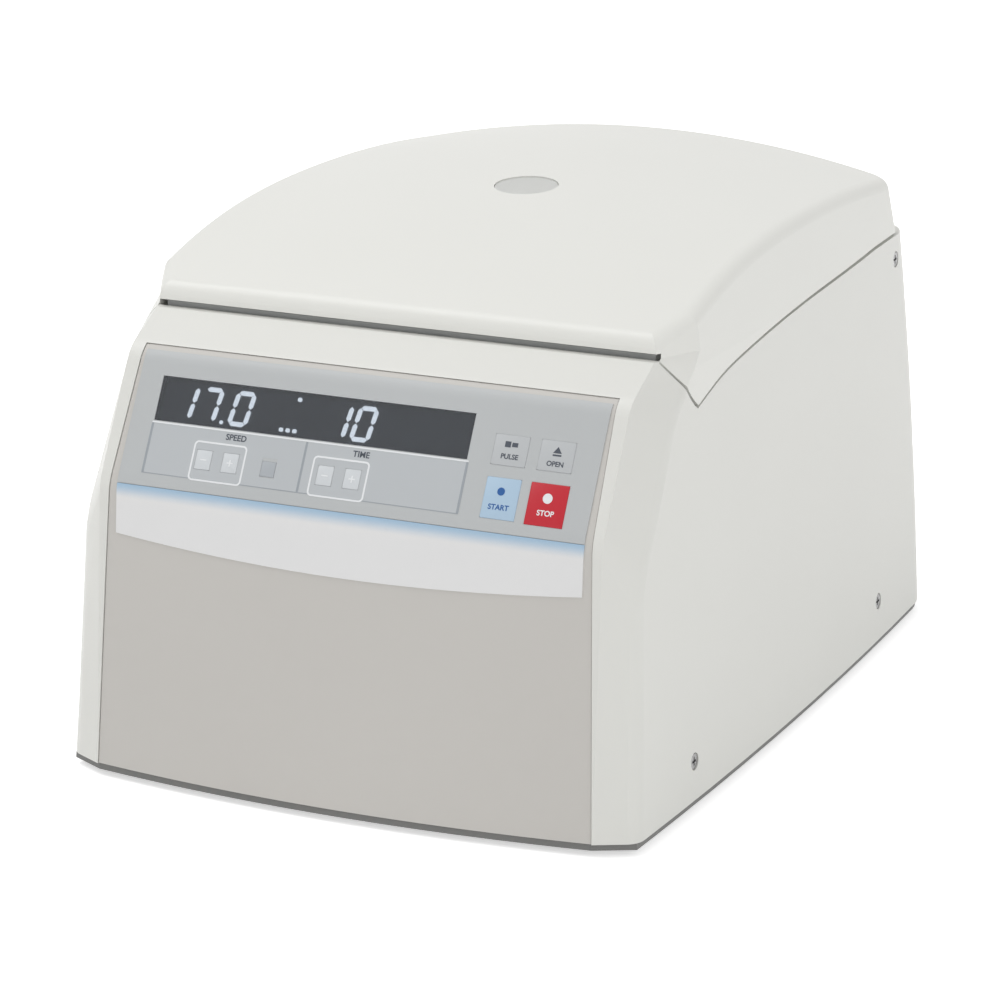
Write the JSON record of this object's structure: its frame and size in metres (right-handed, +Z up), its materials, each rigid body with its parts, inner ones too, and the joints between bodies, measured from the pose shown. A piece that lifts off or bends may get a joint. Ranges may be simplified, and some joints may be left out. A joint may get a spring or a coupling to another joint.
{
  "type": "microcentrifuge",
  "caption": "Bench microcentrifuge with a crowned hinged lid, small viewing window, slanted keypad with a dark display, and a fixed-angle rotor in a steel chamber.",
  "frame": {"origin": "centre of the overall box, on the surface that the feet stand on", "axes": "+X to the right as seen from the front, +Y to the back, +Z up; the keypad faces -Y"},
  "size_m": [0.2426, 0.3512, 0.2086],
  "materials": {
    "lid_white": "smooth moulded plastic with a soft gloss",
    "case_white": "smooth moulded plastic with a soft gloss",
    "panel_grey": "fine satin moulding",
    "foil_grey": "printed satin foil",
    "band_white": "smooth printed strip",
    "key_grey": "satin key",
    "key_blue": "smooth key",
    "key_red": "smooth key",
    "display_dark": "tinted clear plastic",
    "digit_lit": "lit segments",
    "clear": "clear moulded window",
    "steel": "machined steel",
    "bowl_steel": "spun stainless steel",
    "zinc_sheet": "plated sheet steel",
    "dark_sheet": "powder coated sheet steel",
    "anodised": "bead-blasted and anodised",
    "cast_alloy": "as cast, machined faces",
    "liner_grey": "satin moulding",
    "black_rubber": "moulded rubber",
    "grey_rubber": "moulded silicone",
    "black_plastic": "moulded nylon",
    "board_green": "coated circuit board",
    "copper": "enamelled copper wire",
    "laminate": "stacked steel laminations",
    "can_black": "sleeved aluminium can",
    "pin_brass": "plated contact"
  },
  "bodies": {
    "case": {"back_panel": "dark_sheet", "base_plate": "dark_sheet", "capacitors": "can_black", "chamber_bowl": "bowl_steel", "chamber_seal": "grey_rubber", "control_board": "board_green", "display_digits": "digit_lit", "display_module": "black_plastic", "display_window": "display_dark", "front_panel": "panel_grey", "heat_sink": "anodised", "hinge_brackets": "zinc_sheet", "hinge_springs": "steel", "housing_screws": "steel", "housing_shell": "case_white", "inlet_pins": "pin_brass", "key_switches": "black_plastic", "keypad_overlay": "foil_grey", "latch_bracket": "zinc_sheet", "latch_motor": "cast_alloy", "lid_switch": "black_plastic", "mains_inlet": "black_plastic", "motor_bearings": "steel", "motor_housing": "cast_alloy", "motor_mount": "cast_alloy", "name_band": "band_white", "pivot_pins": "steel", "power_board": "board_green", "rubber_feet": "black_rubber", "shaft_boot": "black_rubber", "stator_core": "laminate", "stator_windings": "copper", "switch_frame": "black_plastic", "vibration_mounts": "black_rubber"},
    "lid": {"lid_shell": "lid_white", "viewing_window": "clear", "window_ring": "case_white", "lid_liner": "liner_grey", "lid_striker": "zinc_sheet", "hinge_leaves": "zinc_sheet"},
    "hook": {"latch_hook": "steel"},
    "spindle": {"rotor": "anodised", "drive_hub": "steel", "rotor_nut": "steel", "motor_shaft": "steel", "motor_rotor": "laminate"},
    "rotor_cover": {"rotor_lid": "anodised", "rotor_lid_knob": "black_plastic", "rotor_lid_seal": "black_rubber"},
    "drawer": {"fuse_drawer": "black_plastic"},
    "rocker": {"power_rocker": "black_plastic"},
    "key_speed_down_cap": {"key_speed_down": "key_grey"},
    "key_speed_up_cap": {"key_speed_up": "key_grey"},
    "key_unit_cap": {"key_unit": "key_grey"},
    "key_time_down_cap": {"key_time_down": "key_grey"},
    "key_time_up_cap": {"key_time_up": "key_grey"},
    "key_pulse_cap": {"key_pulse": "key_grey"},
    "key_open_cap": {"key_open": "key_grey"},
    "key_start_cap": {"key_start": "key_blue"},
    "key_stop_cap": {"key_stop": "key_red"}
  },
  "joints": [
    {"name": "lid_hinge", "type": "hinge", "parent": "case", "child": "lid", "pos_m": [0, 0.142, 0.1705], "axis": [-1, 0, 0], "range_deg": [0, 75]},
    {"name": "latch_pivot", "type": "hinge", "parent": "case", "child": "hook", "pos_m": [0, -0.113, 0.148], "axis": [-1, 0, 0], "range_deg": [0, 20]},
    {"name": "rotor_spin", "type": "hinge", "parent": "case", "child": "spindle", "pos_m": [0, 0.002, 0.099], "axis": [0, 0, 1], "continuous": true},
    {"name": "rotor_lid_turn", "type": "hinge", "parent": "spindle", "child": "rotor_cover", "pos_m": [0, 0.002, 0.151], "axis": [0, 0, 1], "range_deg": [0, 90]},
    {"name": "fuse_drawer_slide", "type": "slide", "parent": "case", "child": "drawer", "axis": [0, 1, 0], "range_m": [0, 0.014]},
    {"name": "power_switch_rock", "type": "hinge", "parent": "case", "child": "rocker", "pos_m": [0.052, 0.158, 0.04], "axis": [-1, 0, 0], "range_deg": [0, 16]},
    {"name": "key_speed_down_press", "type": "slide", "parent": "case", "child": "key_speed_down_cap", "axis": [0, 0.8772, -0.4802], "range_m": [0, 0.0005], "stiffness_N_per_m": 300, "springref_m": -0.001},
    {"name": "key_speed_up_press", "type": "slide", "parent": "case", "child": "key_speed_up_cap", "axis": [0, 0.8772, -0.4802], "range_m": [0, 0.0005], "stiffness_N_per_m": 300, "springref_m": -0.001},
    {"name": "key_unit_press", "type": "slide", "parent": "case", "child": "key_unit_cap", "axis": [0, 0.8772, -0.4802], "range_m": [0, 0.0005], "stiffness_N_per_m": 300, "springref_m": -0.001},
    {"name": "key_time_down_press", "type": "slide", "parent": "case", "child": "key_time_down_cap", "axis": [0, 0.8772, -0.4802], "range_m": [0, 0.0005], "stiffness_N_per_m": 300, "springref_m": -0.001},
    {"name": "key_time_up_press", "type": "slide", "parent": "case", "child": "key_time_up_cap", "axis": [0, 0.8772, -0.4802], "range_m": [0, 0.0005], "stiffness_N_per_m": 300, "springref_m": -0.001},
    {"name": "key_pulse_press", "type": "slide", "parent": "case", "child": "key_pulse_cap", "axis": [0, 0.8772, -0.4802], "range_m": [0, 0.0005], "stiffness_N_per_m": 300, "springref_m": -0.001},
    {"name": "key_open_press", "type": "slide", "parent": "case", "child": "key_open_cap", "axis": [0, 0.8772, -0.4802], "range_m": [0, 0.0005], "stiffness_N_per_m": 300, "springref_m": -0.001},
    {"name": "key_start_press", "type": "slide", "parent": "case", "child": "key_start_cap", "axis": [0, 0.8772, -0.4802], "range_m": [0, 0.0005], "stiffness_N_per_m": 300, "springref_m": -0.001},
    {"name": "key_stop_press", "type": "slide", "parent": "case", "child": "key_stop_cap", "axis": [0, 0.8772, -0.4802], "range_m": [0, 0.0005], "stiffness_N_per_m": 300, "springref_m": -0.001}
  ]
}
